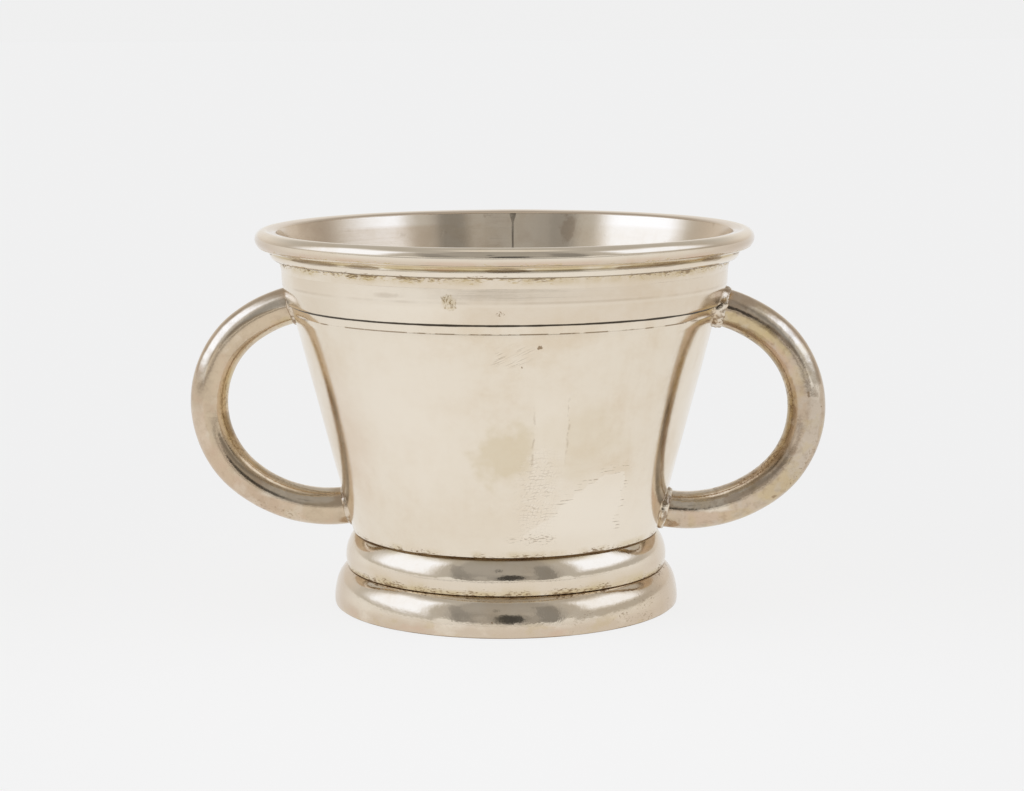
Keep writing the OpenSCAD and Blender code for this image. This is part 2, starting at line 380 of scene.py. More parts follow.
# scratches, the scribed line, dark lines along the crevices and dried polish where girdle, foot and moulding meet the
# wall
def wornCrevices(m, outer):
    scratches = m.grain(4.0, 4.0, 0.11, 1, spin=(0, -0.42, 0), shift=(2, 0, 5)).rise(0.64, 0.7)
    scratched = m.turn.near(wallLook["scratchTurn"], 5, 2) * m.z.near(wallLook["scratchZ"], 2.2, 1)
    m.stain(scratches * scratched * outer * 0.55, "brown", 0.1)
    m.stain(m.patch(*wallLook["nick"]) * outer * 0.8, "brown", 0.25)
    scribed = m.z.near(wallLook["scribeZ"], 0.13, 0.07) * m.grain(5, 5, 60, 4).rise(0.44, 0.54)
    m.stain(scribed * outer * 0.75, "brown", 0.25)
    m.crease(wallLook["girdleZ"], 0.3, "black", outer)
    m.film(m.z.near(wallLook["footZ"] + 0.65, 0.7, 0.6) * outer, 8, (6, 6, 0), 0.4, 0.6, 0.4)
    m.crease(wallLook["footZ"], 0.2, "brown", outer)
    m.grains(wallLook["footZ"] + 0.25, 1.2, "brown", 0.36, 0.25, outer)
    m.film(m.z.near(wallLook["beadZ"] - 0.3, 0.9, 0.6) * outer, 8, (2, 6, 0), 0.38, 0.6, 0.5)
    m.grains(wallLook["beadZ"], 1.4, "yellow", 0.5, 0.3, outer)
    m.grains(wallLook["beadZ"] + 0.05, 1.0, "brown", 0.42, 0.26, outer)
    m.stain(m.z.rise(72.5, 75) * m.turn.near(40, 58, 8) * outer * 0.2, "dull", 0.02)
    m.stain(m.specks(8, 0.3) * outer, "brown", 0.3)


# the inside: dull flanks, a painted highlight band under the lip, and the seam
def wornInside(m, inner):
    m.stain(inner * abs(m.turn).near(wallLook["flankTurn"], 16, 10) * 0.8, "dull", 0.04)
    m.stain(inner * m.turn.near(-140, 16, 10) * 0.5, "dull", 0.03)
    cloud = m.grain(9, 9, 5, 4, shift=(3, 1, 4)).rise(0.4, 0.6)
    m.stain(inner * m.turn.near(-110, 10, 8) * cloud * 0.5, "tan", 0.04)
    m.stain(inner * m.grain(7, 7, 5, 4, shift=(2, 9, 4)).rise(0.5, 0.7) * 0.25, "dull", 0.04)
    m.stain(inner * m.grain(3, 3, 3, 4, shift=(7, 9, 4)).rise(0.62, 0.72) * 0.2, "brown", 0.06)
    # painted highlight: a bright band on the inside just under the lip, towards the far flanks
    band = m.z.rise(*wallLook["underLipHighlightZ"]) * abs(m.turn).near(wallLook["underLipHighlightTurn"], 14, 8)
    m.stain(inner * band * 0.9, "bright", -0.01)
    m.stain(inner * m.patch(*wallLook["insideSpot"]) * 0.5, "tan", 0.03)
    seamTurn = abs(m.turn + m.grain(4, 4, 5, 2) * 0.3 - 0.15 - wallLook["seamAt"])
    seam = (seamTurn - m.z.rise(*wallLook["seamTop"]) * 0.6).rise(0.38, 0.16)
    broken = m.grain(4, 4, 5, 3, shift=(1, 1, 1)).rise(0.3, 0.6)
    m.stain(seam * inner * broken * 0.6, "black", 0.3, -0.03)


# body floor: a slightly dished disc, let into the wall
floorLook = {"radius": 33.05, "under": 16.2, "top": 17.4, "dish": 0.25, "bevel": 0.3, "into": 0.28, "rings": 24,
             "uneven": 0.12, "unevenSize": 11, "warmth": 0.8, "hairlines": 1.2}


def makeFloor():
    r, under, top, count = floorLook["radius"], floorLook["under"], floorLook["top"], floorLook["rings"]
    rim, bevel = r + floorLook["into"], floorLook["bevel"]
    points = [(0.0, under), (r - bevel, under), (r, under + bevel), (rim, top)]
    for i in range(1, count + 1):
        share = (count - i) / count
        points.append((rim * share, top - floorLook["dish"] * (1 - share ** 2)))
    piece = turned("bodyFloor", points, steps=192)
    uneven(piece, floorLook["unevenSize"], floorLook["uneven"], middle=1.0)
    m = SilverFinish("floorSilver").start(floorLook["warmth"], floorLook["hairlines"], "warm", "dull")
    corner = m.x.far(m.y).rise(31.6, 33.2)
    m.stain(corner * (m.grain(3, 3, 3, 4).rise(0.3, 0.7) * 0.5 + 0.3), "brown", 0.3)
    m.stain(m.grain(6, 6, 6, 4, shift=(2, 2, 2)).rise(0.5, 0.75) * 0.22, "brown", 0.06)
    dress(piece, m.done(), "body_floor")


# lip: a round wire, run smooth over the wall's upper edge
# over: radius and height; overEnd: the same, with the radius from the wall's inside
lip = {"x": 52.928, "z": 81.65, "r": 2.05, "uneven": 0.07, "unevenSize": 13, "warmth": 0.4, "hairlines": 0.8,
       "over": [(52.15, 83.62), (51.6, 83.57), (51.15, 83.5), (50.8, 83.41), (50.53, 83.29)],
       "overEnd": [(-0.1, 83.14), (-0.12, 82.97), (0.2, 82.8)], "seatZ": 80.9, "endTurn": 80}


def makeLipWire():
    over = lip["over"] + [(wallIn(z) + away, z) for away, z in lip["overEnd"]]
    ring = arcPoints(lip["x"], lip["z"], lip["r"], -150, 100, 68)
    seat = (wallOut(lip["seatZ"]) - 0.3, lip["seatZ"])
    piece = turned("lipWire", ring + over + [seat], steps=360, angle=50)
    uneven(piece, lip["unevenSize"], lip["uneven"], middle=1.0)
    m = SilverFinish("lipSilver").start(lip["warmth"], lip["hairlines"], rougher=-0.03)
    m.stain(m.x.far(m.y).rise(52.5, 51.9) * 0.75, "dull", 0.0)
    # painted reflection: the lip darkens and browns towards its ends beside the handles, standing in for a darker
    # room to the sides
    m.stain(abs(m.turn).near(lip["endTurn"], 26, 22) * m.z.rise(83.3, 82.3) * 0.7, "dull", 0.0)
    m.stain(abs(m.turn).near(lip["endTurn"] - 8, 14, 12) * m.z.near(81.2, 0.9, 0.7) * 0.6, "tan", 0.0)
    m.stain(m.z.rise(81.6, 80.3) * 0.7, "dull", 0.03)
    cloud = m.grain(9, 9, 4, 4, shift=(4, 4, 0)).rise(0.42, 0.6)
    m.stain(m.z.rise(81.4, 80.4) * cloud * 0.4, "blush", 0.05)
    m.grains(79.9, 0.9, "yellow", 0.5)
    m.stain(m.specks(6.0, 0.25), "brown", 0.3)
    dress(piece, m.done(), "lip_wire")


# the drawn moulding under the lip: a hollow over a small bead; dirt: turn and half turn
moulding = {"low": 77.22, "beadX": 50.4, "beadR": 1.28, "coveX": 53.9, "coveZ": 77.35, "coveR": 2.85,
            "coveTop": 83.0, "coveLow": 149.0, "seatZ": 80.6, "clear": 0.05, "uneven": 0.05, "unevenSize": 9,
            "warmth": 0.55, "hairlines": 0.5, "dirtZ": 78.9,
            "dirt": [(-46, 10), (-30, 5), (4.5, 5), (41, 11), (62, 5), (-78, 6), (84, 8), (125, 14), (-130, 10),
                     (170, 12)]}


def makeMoulding():
    low, beadX, beadR, clear = (moulding[k] for k in ("low", "beadX", "beadR", "clear"))
    beadZ = low + beadR
    cove = arcPoints(moulding["coveX"], moulding["coveZ"], moulding["coveR"],
                     moulding["coveLow"], moulding["coveTop"], 40)
    cove = [p for p in cove if math.dist(p, (beadX, beadZ)) > beadR]
    meet = math.degrees(math.atan2(cove[0][1] - beadZ, cove[0][0] - beadX))
    points = [(wallOut(low) - 0.2, low)] + arcPoints(beadX, beadZ, beadR, -90, meet - 4, 22) + cove
    around = arcPoints(lip["x"], lip["z"], lip["r"] + clear, -50, -150, 16)
    points += [p for p in around if p[0] > wallOut(p[1]) + clear]
    points += [(wallOut(moulding["seatZ"]) - 0.2, moulding["seatZ"])]
    piece = turned("lipMoulding", points, angle=35)
    uneven(piece, moulding["unevenSize"], moulding["uneven"], middle=1.0)
    m = SilverFinish("mouldingSilver").start(moulding["warmth"], moulding["hairlines"], rougher=-0.03)
    # painted reflection: the moulding's hollow darkens towards its ends beside the handles, standing in for a darker
    # room to the sides
    m.stain(abs(m.turn).near(66, 16, 16) * m.z.rise(77.8, 78.8) * 0.6, "dull", 0.0)
    hollow = m.z.near(79.3, 0.6, 0.4)
    m.stain(m.grain(9, 9, 3, 5, shift=(2, 7, 0)).rise(0.26, 0.5) * hollow * 0.85, "yellow", 0.06)
    streaks = m.grain(5, 5, 0.22, 3, shift=(7, 2, 1)).rise(0.5, 0.62)
    for turn, wide in moulding["dirt"]:
        m.stain(m.patch(turn, moulding["dirtZ"], wide, 0.46, 2.5, 0.35, 0.16) * (streaks * 0.4 + 0.58), "brown", 0.2)
    m.stain(m.patch(-9, 79.0, 5, 0.42, 1.8, 0.6, 0.3) * 0.8, "yellow", 0.15)
    m.stain(m.patch(-10, 79.0, 4, 0.3, 1.5, 0.8, 0.3) * 0.5, "blush", 0.15)
    # painted highlight: a lighter band along the bead's upper side
    m.stain(m.z.near(78.1, 0.6, 0.3) * 0.35, "bright", 0.0)
    m.crease(low + 0.04, 0.3, "black", 0.6)
    m.grains(77.2, 0.8, "brown", 0.4)
    dress(piece, m.done(), "lip_moulding")


# girdle: a flat band, crisp below and fading into the wall above
# fade: height over the shoulder and what is left of the band's thickness
girdle = {"low": 67.4, "shoulder": 71.7, "top": 75.1, "proud": 0.75, "uneven": 0.07, "unevenSize": 15,
          "warmth": 0.6, "hairlines": 0.9, "smearTurn": -9.2, "smearZ": 72.1,
          "fade": [(-0.5, 0.985), (0.0, 0.93), (0.5, 0.82), (1.1, 0.65), (1.7, 0.47), (2.3, 0.29), (2.9, 0.12),
                   (3.3, 0.0)]}


def makeGirdle():
    low, shoulder, top, proud = girdle["low"], girdle["shoulder"], girdle["top"], girdle["proud"]
    face = straight((wallOut(low + 0.2) + proud, low + 0.2), (wallOut(shoulder - 0.9) + proud, shoulder - 0.9), 6)
    fade = [(shoulder + up, share) for up, share in girdle["fade"]] + [(top, -0.2), (top, -0.6)]
    edge = wallOut(low) + proud
    points = [(wallOut(low) - 0.2, low), (edge - 0.16, low), (edge - 0.05, low + 0.06)]
    points += face + [(wallOut(z) + proud * share, z) for z, share in fade]
    piece = turned("girdleBand", points, angle=40)
    uneven(piece, girdle["unevenSize"], girdle["uneven"])
    m = SilverFinish("girdleSilver").start(girdle["warmth"], girdle["hairlines"])
    m.stain(m.patch(-24, 72, 17, 6, 12, 0.5, 0.9) * 0.7, "bright", 0.0)
    m.stain(m.turn.near(-52, 8, 9) * 0.3, "gold", 0.0)
    m.stain(m.turn.near(45, 52, 8) * 0.25, "dull", 0.02)
    m.crease(low, 0.28, "black")
    smear = m.patch(girdle["smearTurn"], girdle["smearZ"], 1.5, 1.5, 2.2, 1.2, 0.3)
    m.stain(smear * m.grain(0.35, 0.35, 0.6, 3, shift=(2, 2, 8)).rise(0.5, 0.6) * 0.85, "brown", 0.3)
    m.stain(smear * 0.4, "yellow", 0.05)
    m.stain(m.patch(3.4, 69.9, 0.9, 0.5, 1, 1.5) * m.grain(0.3, 0.3, 0.3, 3).rise(0.5, 0.58) * 0.7, "brown", 0.2)
    m.stain(m.patch(-25, 73.2, 3, 0.5, 2, 1.0, 0.6) * 0.2, "brown", 0.05)
    # painted shade and painted highlight: a faint brown band just above the shoulder and a lighter line just below it
    cloud = m.grain(9, 9, 40, 3, shift=(3, 0, 0)).rise(0.3, 0.6)
    m.stain(m.z.near(shoulder + 0.35, 0.25, 0.2) * cloud * 0.16, "brown", 0.03)
    m.stain(m.z.near(shoulder - 0.2, 0.3, 0.25) * 0.4, "clean", -0.02)
    m.stain(m.specks(8, 0.28, (3, 3, 3)), "brown", 0.3)
    dress(piece, m.done(), "girdle_band")


# foot: two rounded mouldings of sheet and the wire that it stands on
footSheet = {"thick": 1.0, "flange": 5.0, "uneven": 0.10, "unevenSize": 8, "hairlines": 0.7, "rougher": -0.03}
collar = {"x": 28.175, "z": 10.73, "r": 7.66, "low": 8.4, "top": 16.15, "drawnIn": 0.36, "turn": 45.0, "warmth": 0.4}


def rimAngle(z, cz, r):
    return math.degrees(math.asin((z - cz) / r))


def makeCollar():
    cx, cz, r, low, top = (collar[k] for k in ("x", "z", "r", "low", "top"))
    sheet, edgeZ, steps = footSheet["thick"], low + 0.1, 8
    bow = arcPoints(cx, cz, r, 0, collar["turn"], 34)
    under = [(cx + r - collar["drawnIn"] * (1 - i / steps) ** 2, edgeZ + (cz - edgeZ) * i / steps)
             for i in range(steps)]
    edge = bow[-1][0] - footSheet["flange"]
    inside = arcPoints(cx, cz, r - sheet, rimAngle(top - sheet, cz, r - sheet), 0, 16)
    points = [(under[0][0] - 0.15, low)] + under + bow
    points += [(edge, top), (edge, top - sheet)] + inside + [(inside[-1][0], low)]
    piece = turned("footCollar", points, angle=35)
    uneven(piece, footSheet["unevenSize"], footSheet["uneven"])
    m = SilverFinish("collarSilver").start(collar["warmth"], footSheet["hairlines"], rougher=footSheet["rougher"])
    m.crease(16.0, 0.16, "brown")
    m.stain(m.z.rise(15.45, 15.85) * m.turn.near(2, 26, 12) * 0.7, "brown", 0.1)
    m.stain(abs(m.turn).near(88, 26, 10) * 0.55, "dull", 0.03)
    m.stain(m.z.near(10.2, 1.5, 0.8) * 0.3, "dull", 0.02)
    m.film(m.z.rise(14.6, 16.0), 7, (6, 6, 0), 0.35, 0.65, 0.5)
    m.film(m.z.near(9.6, 0.8, 0.7), 9, (1, 6, 0), 0.42, 0.62, 0.4)
    m.film(m.z.near(8.5, 0.9, 0.5), 6, (2, 2, 0), 0.26, 0.56, 0.7, 0.1)
    m.grains(8.7, 1.8, "brown", 0.48)
    m.crease(8.45, 0.16, "brown", 0.5)
    m.height = m.height + m.grain(1.4, 1.4, 1.1, 3, shift=(4, 0, 4)) * 0.02
    m.stain(m.specks(7, 0.28, (1, 8, 0)), "brown", 0.3)
    dress(piece, m.done(), "foot_collar")


# lean: degrees per mm of height; roll: degrees per square mm above turn
base = {"x": 27.45, "z": 0.9, "r": 11.0, "top": 8.35, "lean": 3.95, "turn": 3.7, "roll": 2.4, "warmth": 0.6}


# a face that is upright at its foot, leans in evenly and then rolls over
def leaning(x, low, top, count):
    points, step = [(x, low)], (top - low) / count
    for i in range(count):
        up = (i + 0.5) * step
        angle = math.radians(base["lean"] * up + base["roll"] * max(up - base["turn"], 0.0) ** 2)
        x -= math.tan(angle) * step
        points.append((x, low + (i + 1) * step))
    return points


# keeps a piece from sinking under the table
def flatten(piece, low):
    bpy.ops.object.mode_set(mode="EDIT")
    shape = bmesh.from_edit_mesh(piece.data)
    for v in shape.verts:
        v.co.z = max(v.co.z, low)
    bmesh.update_edit_mesh(piece.data)
    bpy.ops.object.mode_set(mode="OBJECT")


def makeBase():
    cx, cz, r, top = (base[k] for k in ("x", "z", "r", "top"))
    sheet, hollowR = footSheet["thick"], r - footSheet["thick"]
    bow = leaning(cx + r, cz, top, 48)
    inside = arcPoints(cx, cz, hollowR, rimAngle(top - sheet, cz, hollowR), rimAngle(0, cz, hollowR), 24)
    edge = bow[-1][0] - footSheet["flange"]
    points = [(cx + r - 0.3, 0.0), (cx + r - 0.08, 0.18)] + bow + [(edge, top), (edge, top - sheet)] + inside
    piece = turned("footBase", points, angle=35)
    uneven(piece, footSheet["unevenSize"], footSheet["uneven"])
    flatten(piece, 0.0)
    m = SilverFinish("baseSilver").start(base["warmth"], footSheet["hairlines"], rougher=footSheet["rougher"])
    m.stain(m.z.rise(4.2, 1.6) * m.grain(9, 9, 6, 4, shift=(1, 2, 2)).rise(0.24, 0.54) * 0.85, "dull", 0.04)
    blush = m.grain(9, 9, 4, 4, shift=(6, 2, 2)).rise(0.54, 0.68) * m.z.rise(4.0, 1.6)
    m.stain(blush * 0.4, "blush", 0.08)
    m.stain(m.grain(6, 6, 3, 4, shift=(3, 8, 2)).rise(0.55, 0.66) * m.z.rise(4.4, 2.0) * 0.3, "yellow", 0.06)
    m.stain(abs(m.turn).near(86, 26, 12) * 0.9, "dull", 0.03)
    m.grains(8.1, 1.0, "brown", 0.3)
    m.crease(8.3, 0.14, "brown", 0.5)
    # painted contact shadow: a dark brown line along the bottom edge where the foot meets the table
    m.crease(0.0, 0.25, "brown")
    frost = m.grain(0.7, 0.7, 0.4, 3, shift=(2, 9, 2)).rise(0.56, 0.64)
    frost = frost * m.grain(7, 7, 4, 3, shift=(8, 1, 2)).rise(0.48, 0.6)
    m.stain(frost * m.turn.near(52, 26, 14) * 0.5, "brown", 0.2)
    m.height = m.height + m.grain(1.4, 1.4, 1.1, 3, shift=(4, 0, 4)) * 0.025
    m.stain(m.specks(7, 0.28, (2, 5, 1)), "brown", 0.3)
    dress(piece, m.done(), "foot_base")


footWire = {"seat": 37.357, "wide": 1.9, "high": 1.4, "warmth": 0.7, "hairlines": 0.8}


def makeFootWire():
    seat, r = footWire["seat"], footWire["high"] / 2
    middle = seat - footWire["wide"] + r
    points = [(seat, 0.0), (seat, footWire["high"])] + arcPoints(middle, r, r, 90, 270, 20)
    piece = turned("footWire", points, steps=256, angle=40)
    m = SilverFinish("wireSilver").start(footWire["warmth"], footWire["hairlines"])
    m.grains(1.3, 1.0, "brown", 0.6)
    dress(piece, m.done(), "foot_wire")


# handles: round tube bent in three arcs, its ends cut to the body; arcSteps: upper, middle and lower arc
handle = {"tube": 4.22, "outX": 66.77, "midZ": 43.86, "bend": 21.67, "endBend": 29.89, "split": 53.13,
          "topEnd": 84.0, "lowEnd": 107.0, "sides": 64, "arcSteps": (28, 76, 44), "uneven": 0.14, "unevenSize": 11,
          "sunk": 0.3, "smooth": 40, "hairlines": 0.8, "rougher": 0.03}


# the body's outside, set back a little, so that the tube's ends reach into the wall
def bodyCutter(low=5.0, high=80.0):
    ledge, shoulder, top, sunk = girdle["low"], girdle["shoulder"], girdle["top"], handle["sunk"]
    proud = girdle["proud"] - sunk
    points = [(0.0, low), (wallOut(low) - sunk, low), (wallOut(ledge) - sunk, ledge), (wallOut(ledge) + proud, ledge),
              (wallOut(shoulder) + proud, shoulder), (wallOut(top) - sunk, top), (wallOut(high) - sunk, high),
              (0.0, high)]
    return turned("bodyCutter", points)


def bentTube():
    split, start = math.radians(handle["split"]), math.radians(handle["topEnd"])
    midX, midZ, endBend = handle["outX"] - handle["bend"], handle["midZ"], handle["endBend"]
    shift = handle["bend"] - endBend
    upper = (midX + shift * math.cos(split), midZ + shift * math.sin(split))
    lower = (upper[0], midZ - shift * math.sin(split))
    at = (upper[0] + endBend * math.cos(start), upper[1] + endBend * math.sin(start))
    bpy.ops.object.select_all(action="DESELECT")
    bpy.ops.mesh.primitive_circle_add(vertices=handle["sides"], radius=handle["tube"] * mm, fill_type="NOTHING",
                                      location=(at[0] * mm, 0, at[1] * mm), rotation=(0, -start, 0))
    tube = bpy.context.object
    tube.name = tube.data.name = "handleRight"
    bpy.ops.object.transform_apply(location=True, rotation=True, scale=True)
    bpy.ops.object.mode_set(mode="EDIT")
    bpy.ops.mesh.select_all(action="SELECT")
    arcs = [(upper, start - split), ((midX, midZ), 2 * split), (lower, math.radians(handle["lowEnd"]) - split)]
    for (centre, sweep), steps in zip(arcs, handle["arcSteps"]):
        bpy.ops.mesh.spin(steps=steps, angle=sweep, center=(centre[0] * mm, 0, centre[1] * mm), axis=(0, -1, 0))
    bpy.ops.mesh.select_all(action="SELECT")
    bpy.ops.mesh.remove_doubles(threshold=weldGap * mm)
    bpy.ops.mesh.fill_holes(sides=0)
    bpy.ops.mesh.select_all(action="SELECT")
    bpy.ops.mesh.normals_make_consistent(inside=False)
    bpy.ops.object.mode_set(mode="OBJECT")
    return tube


def makeHandles():
    right = bentTube()
    bpy.ops.object.duplicate()
    left = bpy.context.object
    left.name = left.data.name = "handleLeft"
    bpy.ops.transform.rotate(value=math.pi, orient_axis="Z", center_override=(0, 0, 0))
    bpy.ops.object.transform_apply(location=True, rotation=True, scale=True)
    cutter = bodyCutter()
    for piece, side in ((left, -1), (right, 1)):
        bpy.ops.object.select_all(action="DESELECT")
        piece.select_set(True)
        bpy.context.view_layer.objects.active = piece
        uneven(piece, handle["unevenSize"], handle["uneven"], middle=0.75)
        cut = piece.modifiers.new("cope", "BOOLEAN")
        cut.object, cut.operation, cut.solver = cutter, "DIFFERENCE", "EXACT"
        bpy.ops.object.modifier_apply(modifier=cut.name)
        bpy.ops.object.shade_smooth_by_angle(angle=math.radians(handle["smooth"]))
        dress(piece, handleFinish(piece.name + "Silver", side), "handle_right" if side > 0 else "handle_left")
    bpy.data.objects.remove(cutter)


# the handles are the most tarnished part: brown inside the loop, blushed and yellowed outside
# mottle: tone, grain, strength; torn: strength of the brown flecks inside the loop
# pitsAt: where the outside is pitted, in degrees along the loop (0 outermost, + upwards)
# stainsAndHighlights: tone, strength, degrees along the loop, half length, from and to across the tube, grain; the
# bright and clean ones are painted highlights where the tube catches the soft boxes, the others are tarnish
handleLook = {
    "right": {
        "warmth": 0.62, "tone": "dull", "torn": 0.75, "pitsAt": -32, "bumps": 0.07,
        "mottle": [("brown", 1.7, 0.22), ("yellow", 4.5, 0.3), ("grey", 3.0, 0.4)],
        "stainsAndHighlights": [
            ("grey", 0.55, -8, 34, 0.0, 3.2, 5), ("clean", 0.7, 44, 30, 1.4, 3.3, 6),
            ("bright", 0.8, 34, 20, 1.5, 3.3, 6), ("tan", 0.6, 10, 62, 3.1, 5.0, 4),
            ("tan", 0.5, 82, 14, -0.4, 4.6, 5), ("yellow", 0.65, 72, 18, -2.6, 0.6, 3),
            ("yellow", 0.6, 44, 12, -1.8, 0.4, 3), ("blush", 0.35, 40, 14, -3.0, -1.0, 4),
            ("brown", 0.4, 53, 6, -0.2, 1.2, 1.5), ("brown", 0.45, 66, 18, -2.8, -1.6, 2),
            ("tan", 0.5, 5, 14, -2.6, 0.4, 4), ("brown", 0.65, -14, 24, -4.6, -2.4, 3),
            ("brown", 0.3, -34, 12, -3.0, -0.4, 3), ("yellow", 0.45, -48, 12, 0.0, 4.0, 3),
            ("yellow", 0.35, -75, 9, 1.6, 4.4, 2.5), ("blush", 0.25, -88, 12, 1.5, 4.4, 3),
            ("bright", 0.7, -88, 24, -3.4, -1.8, 4), ("clean", 0.8, -95, 16, -1.8, 1.2, 5),
            ("yellow", 0.45, 20, 60, -4.6, -3.2, 3), ("brown", 0.5, 60, 40, -4.6, -3.3, 1.4),
            ("brown", 0.7, 9, 1.7, 0.3, 0.8, 0.5), ("brown", 0.6, -53, 1.2, 2.5, 3.1, 0.5),
        ],
    },
    "left": {
        "warmth": 0.5, "tone": "gold", "torn": 0.45, "pitsAt": -75, "bumps": 0.03,
        "mottle": [("blush", 4.0, 0.22), ("clean", 6.0, 0.3), ("brown", 1.5, 0.1)],
        "stainsAndHighlights": [
            ("bright", 0.9, 46, 28, 1.2, 3.4, 8), ("tan", 0.5, 40, 50, 3.3, 5.0, 5),
            ("yellow", 0.45, 80, 9, -4.6, -1.6, 2.5), ("clean", 0.35, -12, 14, 0.6, 3.6, 5),
            ("tan", 0.35, -58, 14, -0.4, 4.4, 5), ("tan", 0.3, 5, 12, 0.6, 3.4, 5),
            ("clean", 0.4, 20, 70, -3.7, -2.4, 6), ("yellow", 0.2, 10, 70, -4.6, -3.2, 3),
            ("yellow", 0.5, 0, 26, -4.6, -3.0, 2.5), ("brown", 0.6, -15, 9, -4.6, -3.3, 1.5),
            ("brown", 0.35, -30, 14, -4.6, -3.4, 2), ("bright", 0.9, -58, 16, -3.5, -2.6, 5),
            ("clean", 0.6, -85, 20, -3.6, 0.4, 6), ("blush", 0.25, -40, 40, 0.5, 4.4, 5),
        ],
    },
}


def handleFinish(name, side):
    look = handleLook["right" if side > 0 else "left"]
    m = SilverFinish(name).start(look["warmth"], handle["hairlines"], look["tone"], "tan", handle["rougher"])
    across, along = m.x * side - handle["outX"] + handle["bend"], m.z - handle["midZ"]
    reach = across.far(along) - handle["bend"]
    loop = m.t.maths("ARCTAN2", along, across) * degree
    # the bright and clean entries are painted highlights; the others are tarnish
    for tone, share, at, half, low, high, size in look["stainsAndHighlights"]:
        torn = (m.grain(size, size, size, 4, shift=(at, low, side)) - 0.5) * 1.7
        far = (abs(loop - at) / half).most(abs(reach - (low + high) / 2) / ((high - low) / 2)) + torn
        m.stain(far.rise(1.25, 0.75) * share, tone, 0.07 if tone in ("brown", "yellow", "blush") else -0.01)
    for tone, size, share in look["mottle"]:
        m.stain(m.grain(size, size, size, 4, shift=(size, side, 3)).rise(0.5, 0.66) * share, tone, 0.03)
    torn = m.grain(0.7, 0.7, 0.7, 4, shift=(0, side, 5)).rise(0.5, 0.6)
    torn = torn * m.grain(9, 9, 9, 2, shift=(side, 1, 1)).rise(0.38, 0.54)
    m.stain(reach.rise(-2.5, -3.6) * torn * look["torn"], "brown", 0.2, 0.012)
    pits = m.grain(0.6, 0.6, 0.6, 4, shift=(4, side, 4)).rise(0.57, 0.65)
    m.stain(pits * loop.near(look["pitsAt"], 14, 8) * reach.rise(1.2, 3.4) * 0.7, "brown", 0.25)
    m.stain(m.specks(7, 0.32, (side, 0, 0)), "brown", 0.3)
    m.height = m.height + m.grain(2.2, 2.2, 2.2, 3, shift=(0, side, 0)) * look["bumps"]
    return m.done()


# solder run round the handle ends; upper and lower: radius, height and lean in degrees
solder = {"ring": 4.22, "upper": (47.2, 66.3, 15.0), "lower": (35.35, 20.95, 14.45),
          "thick": {"upperRight": 0.5, "upperLeft": 0.5, "lowerRight": 0.55, "lowerLeft": 0.45},
          "wide": {"upperRight": 1.7, "upperLeft": 0.9, "lowerRight": 1.0, "lowerLeft": 0.8},
          "lump": {"upperRight": 0.9, "upperLeft": 0.35, "lowerRight": 0.4, "lowerLeft": 0.3}, "lumpSize": 1.4,
          "around": 96, "across": 20, "warmth": 0.7, "hairlines": 0.3, "bumps": 0.16}


def solderRing(name, side):
    x, z, lean = solder[name]
    end = name + ("Right" if side > 0 else "Left")
    thick = solder["thick"][end]
    bpy.ops.object.select_all(action="DESELECT")
    bpy.ops.mesh.primitive_torus_add(major_segments=solder["around"], minor_segments=solder["across"],
                                     major_radius=solder["ring"] * mm, minor_radius=thick * mm)
    ring = bpy.context.object
    bpy.ops.transform.resize(value=(1, 1, solder["wide"][end] / thick), center_override=(0, 0, 0))
    ring.location = (side * x * mm, 0, z * mm)
    ring.rotation_euler = (0, side * math.radians(90 + lean), 0)
    bpy.ops.object.transform_apply(location=True, rotation=True, scale=True)
    uneven(ring, solder["lumpSize"], solder["lump"][end], middle=0.45)
    return ring


def makeSolder():
    m = SilverFinish("solderSilver").start(solder["warmth"], solder["hairlines"], "clean", "dull")
    m.height = m.height + m.grain(1.3, 1.3, 1.3, 3) * solder["bumps"]
    m.stain(m.grain(1.6, 1.6, 1.6, 4, shift=(1, 2, 3)).rise(0.44, 0.6) * 0.75, "brown", 0.2)
    material = m.done()
    for name, node in (("upper", "upper_solder"), ("lower", "lower_solder")):
        rings = [solderRing(name, side) for side in (1, -1)]
        for ring in rings:
            ring.select_set(True)
        bpy.context.view_layer.objects.active = rings[0]
        bpy.ops.object.join()
        piece = bpy.context.object
        piece.name = piece.data.name = name + "Solder"
        bpy.ops.object.shade_smooth()
        dress(piece, material, node)


makeWall()
makeFloor()
makeLipWire()
makeMoulding()
makeGirdle()
print("body made")
makeCollar()
makeBase()
makeFootWire()
print("foot made")
makeHandles()
makeSolder()
print("handles made")


# table: a pale floor that glows to the camera and in the silver; in metres, but its gap under the foot in mm
table = {"tone": 0.868, "glow": 0.955, "glowShare": 0.8, "radius": 40.0, "gap": 0.03, "edge": 0.48,
         "edgeSoft": 0.03, "nearGlow": 0.05, "nearAt": (0.0, -0.09, 0.0), "nearReach": (0.24, 0.02)}


